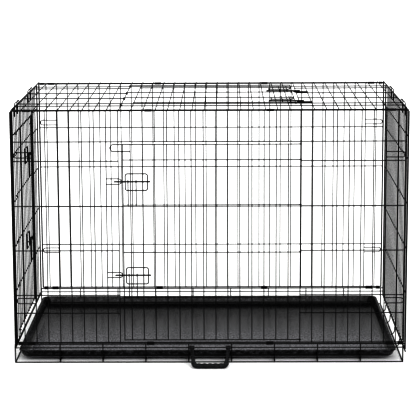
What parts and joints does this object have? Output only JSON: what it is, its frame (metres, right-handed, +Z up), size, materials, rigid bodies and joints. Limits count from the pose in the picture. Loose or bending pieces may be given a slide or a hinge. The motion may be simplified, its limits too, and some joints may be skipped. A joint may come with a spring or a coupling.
{
  "type": "wire dog crate",
  "caption": "Folding wire dog crate with slide-bolt doors at the front, one end and the top, a pull-out tray and a carry handle.",
  "frame": {"origin": "on the floor under the middle of the crate's overall box, with the carry handle and the latches counted", "axes": "+X along the length to the right as seen from the front door, +Y from the front to the back, +Z up"},
  "size_m": [1.2554, 0.8668, 0.8202],
  "materials": {
    "coated_wire": "black satin electro-coat",
    "latch_wire": "black satin electro-coat, worn smooth",
    "clip_steel": "black satin sheet steel",
    "tray_plastic": "grained black floor and glossy walls",
    "handle_plastic": "black moulded, satin"
  },
  "bodies": {
    "base": {"base_rails": "coated_wire", "base_end_rails": "coated_wire", "base_uprights": "coated_wire", "base_floor_cross_wires": "coated_wire", "base_floor_long_wires": "coated_wire", "bottom_front_clips": "clip_steel", "bottom_back_clips": "clip_steel"},
    "tray": {"tray": "tray_plastic"},
    "carry_handle": {"carry_handle": "handle_plastic"},
    "front_panel": {"front_rails": "coated_wire", "front_posts": "coated_wire", "front_uprights": "coated_wire", "front_crossbars": "coated_wire", "front_corner_loops": "coated_wire", "front_catches": "coated_wire"},
    "back_panel": {"back_rails": "coated_wire", "back_posts": "coated_wire", "back_uprights": "coated_wire", "back_crossbars": "coated_wire", "back_corner_loops": "coated_wire"},
    "top_panel": {"top_rails": "coated_wire", "top_side_rails": "coated_wire", "top_cross_wires": "coated_wire", "top_long_wires": "coated_wire", "top_catches": "coated_wire", "top_front_clips": "clip_steel", "top_back_clips": "clip_steel"},
    "left_end": {"left_end_rails": "coated_wire", "left_end_posts": "coated_wire", "left_end_uprights": "coated_wire", "left_end_crossbars": "coated_wire", "left_end_hooks": "coated_wire", "left_catches": "coated_wire"},
    "right_end": {"right_end_rails": "coated_wire", "right_end_posts": "coated_wire", "right_end_uprights": "coated_wire", "right_end_crossbars": "coated_wire", "right_end_hooks": "coated_wire"},
    "front_door": {"front_door_uprights": "coated_wire", "front_door_bars": "coated_wire", "front_door_knuckles": "coated_wire", "front_door_stop": "coated_wire", "front_door_guides": "coated_wire"},
    "left_door": {"left_door_uprights": "coated_wire", "left_door_bars": "coated_wire", "left_door_knuckles": "coated_wire", "left_door_stop": "coated_wire", "left_door_guides": "coated_wire"},
    "top_door": {"top_door_cross_wires": "coated_wire", "top_door_bars": "coated_wire", "top_door_knuckles": "coated_wire", "top_door_stop": "coated_wire", "top_door_guides": "coated_wire"},
    "front_bolt_upper": {"front_bolt_upper": "latch_wire"},
    "front_bolt_lower": {"front_bolt_lower": "latch_wire"},
    "left_bolt_upper": {"left_bolt_upper": "latch_wire"},
    "left_bolt_lower": {"left_bolt_lower": "latch_wire"},
    "top_bolt_front": {"top_bolt_front": "latch_wire"},
    "top_bolt_back": {"top_bolt_back": "latch_wire"}
  },
  "joints": [
    {"name": "crate_fold", "type": "hinge", "parent": "base", "child": "front_panel", "pos_m": [0.0061, -0.35429, 0.0655], "axis": [1, 0, 0], "range_deg": [-85, 0]},
    {"name": "back_fold", "type": "hinge", "parent": "base", "child": "back_panel", "pos_m": [0.0061, 0.42571, 0.0655], "axis": [1, 0, 0], "range_deg": [-85, 0]},
    {"name": "top_fold", "type": "hinge", "parent": "front_panel", "child": "top_panel", "pos_m": [0.0061, -0.35429, 0.8005], "axis": [1, 0, 0], "range_deg": [0, 85]},
    {"name": "left_end_fold", "type": "hinge", "parent": "base", "child": "left_end", "pos_m": [-0.6089, 0.03571, 0.0515], "axis": [0, -1, 0], "range_deg": [-90, 0]},
    {"name": "right_end_fold", "type": "hinge", "parent": "base", "child": "right_end", "pos_m": [0.6211, 0.03571, 0.0395], "axis": [0, 1, 0], "range_deg": [-90, 0]},
    {"name": "front_door_swing", "type": "hinge", "parent": "front_panel", "child": "front_door", "pos_m": [0.2881, -0.35719, 0.0035], "axis": [0, 0, 1], "range_deg": [0, 165]},
    {"name": "left_door_swing", "type": "hinge", "parent": "left_end", "child": "left_door", "pos_m": [-0.6118, -0.18989, 0.0035], "axis": [0, 0, 1], "range_deg": [0, 165]},
    {"name": "top_door_lift", "type": "hinge", "parent": "top_panel", "child": "top_door", "pos_m": [-0.2719, 0.03571, 0.8043], "axis": [0, -1, 0], "range_deg": [0, 165]},
    {"name": "front_bolt_upper_slide", "type": "slide", "parent": "front_door", "child": "front_bolt_upper", "axis": [1, 0, 0], "range_m": [0, 0.026]},
    {"name": "front_bolt_lower_slide", "type": "slide", "parent": "front_door", "child": "front_bolt_lower", "axis": [1, 0, 0], "range_m": [0, 0.026]},
    {"name": "left_bolt_upper_slide", "type": "slide", "parent": "left_door", "child": "left_bolt_upper", "axis": [0, -1, 0], "range_m": [0, 0.026]},
    {"name": "left_bolt_lower_slide", "type": "slide", "parent": "left_door", "child": "left_bolt_lower", "axis": [0, -1, 0], "range_m": [0, 0.026]},
    {"name": "top_bolt_front_slide", "type": "slide", "parent": "top_door", "child": "top_bolt_front", "axis": [-1, 0, 0], "range_m": [0, 0.026]},
    {"name": "top_bolt_back_slide", "type": "slide", "parent": "top_door", "child": "top_bolt_back", "axis": [-1, 0, 0], "range_m": [0, 0.026]},
    {"name": "carry_handle_swing", "type": "hinge", "parent": "base", "child": "carry_handle", "pos_m": [0.0061, -0.35389, 0.0485], "axis": [-1, 0, 0], "range_deg": [0, 70]},
    {"name": "tray_slide", "type": "slide", "parent": "base", "child": "tray", "axis": [-1, 0, 0], "range_m": [0, 1.1]}
  ],
  "couplings": [
    {"joint": "back_fold", "follows": "crate_fold", "ratio": 1},
    {"joint": "top_fold", "follows": "crate_fold", "ratio": -1}
  ]
}
